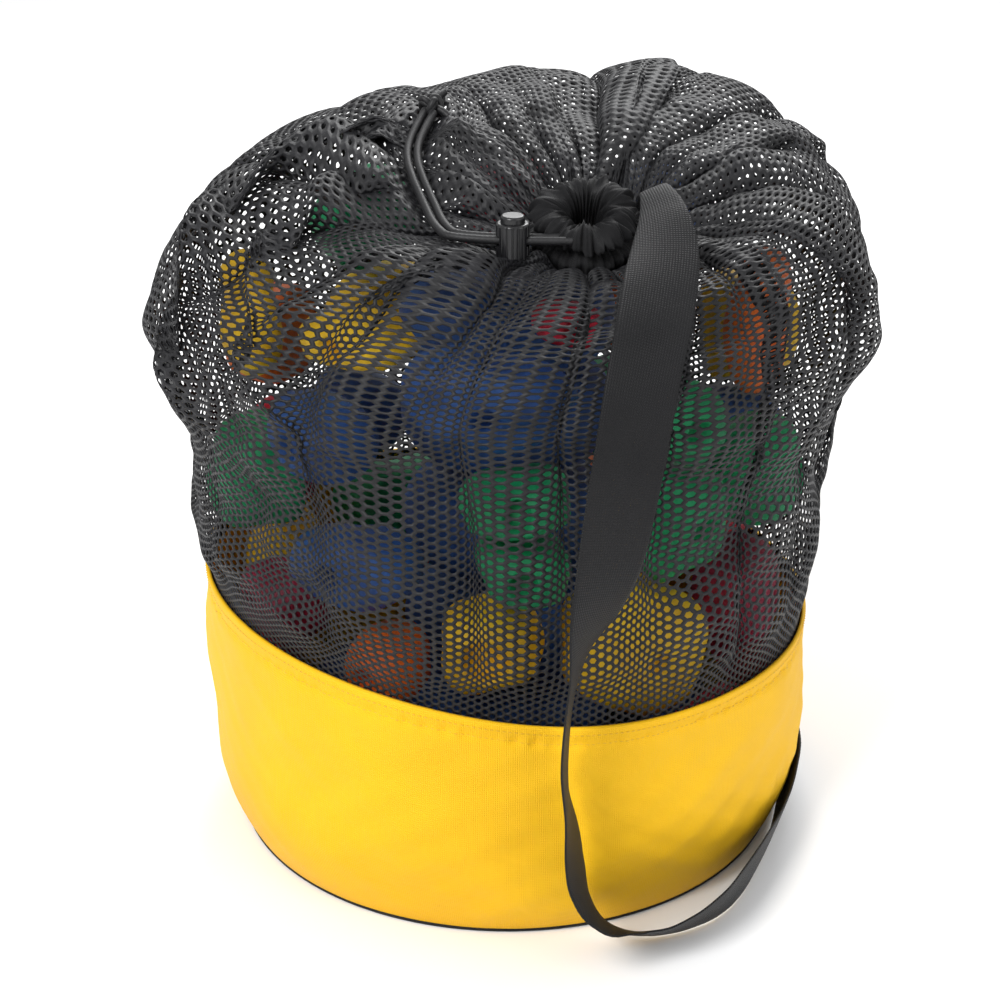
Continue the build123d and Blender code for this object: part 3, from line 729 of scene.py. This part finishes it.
def clear_of_holds(points, gap=0.0022):
    """Pushes the net out of the holds along the line from the bag's middle."""
    for bearing, radius, height, half_sizes, roll in (row[2:] for row in HOLDS):
        centre, across, out, up = hold_place(bearing, radius, height, roll)
        a, b, c = ((v / 1000) * 1.04 + gap for v in half_sizes)
        local = points - centre
        x, y, z = local @ across / a, local @ out / b, local @ up / c
        outside = 1 - x**2 - z**2
        near = (outside > 0) & (y > -0.6)
        wanted = np.sqrt(np.maximum(outside, 0))
        push = np.where(near & (y < wanted), (wanted - y) * b, 0)
        points = points + push[..., None] * out
    return points


def under_drawcord(points):
    """Lays the net under the tails, the knot and the lock, which rest on it."""
    spots = []      # a point of what lies there, and how far below it the net passes
    for route in TAILS.values():
        past_casing = even_line(np.array(route), 0.004)[0][8:]
        spots += [(point, 0.0042) for point in past_casing]
    spots += [(KNOT, 0.0085)]
    spots += [(np.array((x, -0.086, 0.382)), 0.0125) for x in (0.003, -0.006)]
    ceiling = np.full(points.shape[:-1], 9.0)
    for spot, drop in spots:
        away = np.hypot(points[..., 0] - spot[0], points[..., 1] - spot[1])
        ceiling = np.minimum(ceiling, spot[2] - drop + 0.9 * np.maximum(away - 0.004, 0))
    points = points.copy()
    top = points[..., 2] > 0.34
    points[..., 2] = np.where(top, np.minimum(points[..., 2], ceiling), points[..., 2])
    return points


def soften(points, rounds, amount):
    for _ in range(rounds):
        mean = (np.roll(points, 1, axis=1) + np.roll(points, -1, axis=1)) / 2
        mean[1:-1] = (mean[1:-1] + (points[2:] + points[:-2]) / 2) / 2
        mean[0], mean[-1] = points[0], points[-1]
        points = points + amount * (mean - points)
    return points


def net_points(surface, column, row):
    """Points of the surface at fractional grid places."""
    column = column % AROUND
    row = np.clip(row, 0, UP - 1.001)
    c, r = np.floor(column).astype(int), np.floor(row).astype(int)
    u, v = (column - c)[..., None], (row - r)[..., None]
    c2 = (c + 1) % AROUND
    c = c % AROUND
    low = surface[r, c] * (1 - u) + surface[r, c2] * u
    high = surface[r + 1, c] * (1 - u) + surface[r + 1, c2] * u
    return low * (1 - v) + high * v


COLUMNS, ROWS, PANELS = 288, 88, 8
HOLE_SHARE = 0.63
KNIT_OUT, KNIT_IN = 0.00025, 0.00045    # how far the knit's faces stand out and in from its surface


def hole_share(height):
    """Size of a hole against its cell: open low down, and closing up where the net is gathered."""
    return HOLE_SHARE - 0.34 * smoothstep(0.58, 0.90, height)


def add_net():
    """The knit: hexagonal holes in upright columns, each half a hole from its neighbours."""
    surface = soften(clear_of_holds(soften(net_surface(), 2, 0.5)), 6, 0.5)
    surface = soften(under_drawcord(surface), 2, 0.4)
    normals = surface_normals(surface)
    corners = np.array([(0.31, 0.5), (-0.31, 0.5), (-0.69, 0.0),
                        (-0.31, -0.5), (0.31, -0.5), (0.69, 0.0)])
    per_panel = COLUMNS // PANELS
    for panel in range(PANELS):
        columns = np.arange(panel * per_panel, (panel + 1) * per_panel)
        column, row = (v.ravel() for v in np.meshgrid(columns, np.arange(ROWS), indexing="ij"))
        middle = np.stack([column, row + 0.5 * (column % 2) + 0.25], axis=-1).astype(float)
        outer = middle[:, None] + corners
        hole = middle[:, None] + corners * hole_share(middle[:, 1] / ROWS)[:, None, None]
        places = np.concatenate([outer, hole, hole], axis=1)
        grid_column = places[..., 0] * AROUND / COLUMNS
        grid_row = places[..., 1] * (UP - 1) / (ROWS + 0.5)
        points = net_points(surface, grid_column, grid_row)
        facing = net_points(normals, grid_column, grid_row)
        points[:, :6] += facing[:, :6] * KNIT_OUT
        points[:, 12:] -= facing[:, 12:] * KNIT_IN
        start = (np.arange(len(middle)) * 18)[:, None]
        i = np.arange(6)
        j = (i + 1) % 6
        front, sides = (
            np.stack([ring + i, ring + j, ring + 6 + j, ring + 6 + i], axis=-1).reshape(-1, 4)
            for ring in (start, start + 6))
        net = add_mesh(f"net_panel_{panel + 1}", points.reshape(-1, 3), np.concatenate([front, sides]), NET)
        if panel == 0:
            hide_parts("mesh_body")
        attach(net, "bag")


add_net()


# ---------------------------------------------------------------- neck casing
def add_casing():
    """The gathered cloth tube round the neck: ruffled outside, and drawn in to the mouth."""
    around, along = 420, 90
    bearings = np.linspace(0, 2 * math.pi, around, endpoint=False)
    turn, share = np.meshgrid(bearings, np.linspace(0, 1, along))
    # Radius and height along the neck's axis, up the outside and down into the mouth.
    profile = np.array([
        (0.0262, -0.004), (0.0275, 0.002), (0.0292, 0.007), (0.0298, 0.013), (0.0285, 0.019),
        (0.0250, 0.0238), (0.0195, 0.0258), (0.0135, 0.0245), (0.0098, 0.019), (0.0085, 0.010),
        (0.0088, 0.001)])
    line = through(np.column_stack([profile, np.zeros(len(profile))]), along)
    radius, height = line[:, 0][:, None], line[:, 1][:, None]
    wander = 0.9 * ripple(turn, 0, 51, 5, 1, 6) + 1.2 * share * ripple(turn, 0, 52, 5, 2, 7)
    folds = 2 * np.abs(np.cos(13 * turn + wander)) - 1
    small = 2 * np.abs(np.cos(29 * turn + 2 * wander + 3 * share)) - 1
    uneven = 0.8 + 0.3 * ripple(turn, share * 3, 53, 5, 2, 9)
    drawn = 1 - 0.275 * np.exp(-(((share - 0.28) / 0.05) ** 2))    # where the cord pulls the cloth in
    bulge = np.sin(math.pi * share)
    radius = radius * (1 + 0.06 * ripple(turn, share, 55, 4, 1, 4) * bulge)
    radius = radius * drawn + uneven * (0.0021 * folds + 0.0008 * small) * (0.35 + 0.65 * bulge)
    height = height + 0.0022 * uneven * ripple(turn, share * 4, 54, 6, 5, 15) * bulge
    x_dir = np.array((1.0, 0, 0))
    y_dir = np.cross(NECK_AXIS, x_dir)
    outwards = np.sin(turn)[..., None] * x_dir - np.cos(turn)[..., None] * y_dir
    points = NECK + radius[..., None] * outwards + height[..., None] * NECK_AXIS
    uvs = np.stack([turn * 0.18, share * 0.09], axis=-1)
    casing = add_mesh("neck_ruffle", points.reshape(-1, 3), grid_faces(along, around, closed_columns=True),
                      BLACK_CLOTH, uvs=uvs.reshape(-1, 2))
    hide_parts("neck_casing", "drawcord_loop")
    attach(casing, "bag")


add_casing()


# ---------------------------------------------------------------- shoulder strap
# Each station: centre in mm, direction across the webbing, half width there in mm.
STRAP = [
    ((76, -56, 390), (0.95, 0.3, 0.0), 8), ((77, -62, 400), (0.9, 0.3, 0.3), 8),
    ((77, -76, 406), (0.95, 0.05, 0.35), 8), ((80, -98, 402), (1.0, 0.0, 0.3), 12),
    ((80, -126, 390), (1.0, 0.05, 0.1), 17), ((76, -152, 376), (0.98, 0.2, 0.0), 19),
    ((71, -174, 359), (0.95, 0.3, 0.0), 19), ((66, -189, 338), (0.95, 0.3, 0.0), 19),
    ((61, -200, 310), (0.95, 0.3, 0.0), 19), ((56, -206, 280), (0.94, 0.34, 0.0), 19),
    ((51, -209, 250), (0.85, 0.45, 0.0), 19), ((44, -210, 222), (0.68, 0.68, 0.0), 18.5),
    ((37, -209, 196), (0.3, 0.92, 0.0), 18), ((32, -208, 168), (0.16, 0.98, 0.0), 18),
    ((30, -207, 140), (0.12, 0.98, -0.03), 18), ((31, -206, 112), (0.05, 1.0, -0.05), 18.5),
    ((34, -204, 86), (0.2, 0.97, -0.1), 19), ((38, -201, 62), (0.25, 0.92, -0.3), 19),
    ((45, -198, 42), (0.2, 0.85, -0.5), 19), ((55, -194, 27), (0.1, 0.8, -0.6), 19),
    ((68, -190, 18.5), (0.0, 0.8, -0.62), 19), ((84, -186, 16), (-0.1, 0.78, -0.66), 19),
    ((100, -179, 17), (-0.2, 0.64, -0.76), 19), ((115, -168, 19), (-0.25, 0.45, -0.86), 19),
    ((128, -152, 20), (-0.2, 0.3, -0.93), 19), ((139, -133, 20), (-0.2, 0.2, -0.95), 19),
    ((148, -113, 20), (-0.22, 0.18, -0.95), 19), ((157, -91, 20), (-0.26, 0.15, -0.95), 19),
    ((164, -69, 20), (-0.3, 0.12, -0.95), 19), ((170, -45, 20), (-0.31, 0.08, -0.95), 19),
    ((175, -18, 20), (-0.32, 0.03, -0.95), 19), ((175.5, 10, 20), (-0.32, -0.02, -0.95), 19),
    ((172, 38, 19), (-0.31, -0.07, -0.95), 17.5), ((166, 63, 15), (-0.25, -0.1, -0.96), 13),
    ((160, 84, 10.5), (-0.1, -0.05, -0.99), 8),
]


HALF_WEBBING = 0.0008


def add_strap():
    along, wide = 520, 26
    stations = [(*(v / 1000 for v in centre), *across, half / 1000) for centre, across, half in STRAP]
    stations = through(stations, along)
    centres, across, half = stations[:, :3], stations[:, 3:6], stations[:, 6]
    tangents = unit(np.gradient(centres, axis=0))
    across = unit(across - tangents * (across * tangents).sum(axis=1)[:, None])
    facing = np.cross(tangents, across)
    share = np.linspace(-1, 1, wide)
    length = np.concatenate([[0], np.cumsum(np.linalg.norm(np.diff(centres, axis=0), axis=1))])
    cup = 0.0010 * (1 - share**2)[None, :] * np.sin(length * 19)[:, None]
    fray = 0.00015 * np.sin(length * 2400)[:, None] * (np.abs(share) > 0.97)[None, :]
    middle = (centres[:, None] + across[:, None] * ((half[:, None] * share[None, :]) + fray)[..., None]
              + facing[:, None] * cup[..., None])
    thick = HALF_WEBBING * np.sqrt(1 - 0.75 * share**8)
    front = middle + facing[:, None] * thick[None, :, None]
    rear = (middle - facing[:, None] * thick[None, :, None])[:, ::-1]
    points = np.concatenate([front, rear], axis=1)
    flat_x = np.concatenate([half[:, None] * share[None, :], half[:, None] * share[None, ::-1]], axis=1)
    uvs = np.stack([flat_x, np.broadcast_to(length[:, None], flat_x.shape)], axis=-1)
    strap = add_mesh("strap_webbing", points.reshape(-1, 3), grid_faces(along, 2 * wide, closed_columns=True),
                     WEBBING, uvs=uvs.reshape(-1, 2))
    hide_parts("shoulder_strap")
    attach(strap, "strap")


def add_tab(name, node, flat_axes):
    """A short sewn end of webbing: a rounded pad, whose weave lies along two axes."""
    low, high = (np.array(corner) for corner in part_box(node))
    centre, half = (low + high) / 2, (high - low) / 2
    up, around, square = 40, 64, 7
    u, v = np.meshgrid(np.linspace(-math.pi / 2, math.pi / 2, up),
                       np.linspace(0, 2 * math.pi, around, endpoint=False), indexing="ij")
    way = np.stack([np.cos(u) * np.cos(v), np.cos(u) * np.sin(v), np.sin(u)], axis=-1)
    size = (np.abs(way) ** square).sum(axis=-1) ** (-1 / square)
    points = centre + (way * size[..., None]) * half
    uvs = (way * size[..., None] * half)[..., flat_axes]
    tab = add_mesh(name, points.reshape(-1, 3), grid_faces(up, around, closed_columns=True), WEBBING,
                   uvs=uvs.reshape(-1, 2))
    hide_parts(node)
    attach(tab, "bag")


add_strap()
add_tab("strap_end_top", "strap_top_tab", [1, 2])
add_tab("strap_end_bottom", "strap_bottom_tab", [0, 1])


# ---------------------------------------------------------------- studio
def add_floor():
    floor_material = bpy.data.materials.new("floor")
    floor_material.use_nodes = True
    shader = floor_material.node_tree.nodes["Principled BSDF"]
    shader.inputs["Base Color"].default_value = (0.93, 0.93, 0.93, 1)
    shader.inputs["Roughness"].default_value = 0.75
    reach = 12.0
    corners = [(-reach, -reach, 0), (reach, -reach, 0), (reach, reach, 0), (-reach, reach, 0)]
    floor = add_mesh("floor", corners, [(0, 1, 2, 3)], floor_material, smooth=False)


def add_light(name, place, size, power):
    data = bpy.data.lights.new(name, "AREA")
    data.size = size
    data.energy = power
    light = bpy.data.objects.new(name, data)
    light.location = place
    light.rotation_mode = "QUATERNION"
    aim = Vector((0, 0, 0.2)) - Vector(place)
    light.rotation_quaternion = aim.to_track_quat("-Z", "Y")
    bpy.context.scene.collection.objects.link(light)


def add_world():
    world = bpy.data.worlds.new("studio")
    world.use_nodes = True
    world.node_tree.nodes["Background"].inputs["Color"].default_value = (1, 1, 1, 1)
    world.node_tree.nodes["Background"].inputs["Strength"].default_value = 0.75
    bpy.context.scene.world = world
    bpy.context.scene.view_settings.view_transform = "Standard"


add_floor()
add_light("key", (-1.1, -1.5, 2.0), 1.0, 50)
add_light("fill", (1.7, -1.2, 1.4), 1.6, 12)
add_light("rim", (0.3, 1.8, 1.7), 1.2, 30)
add_world()
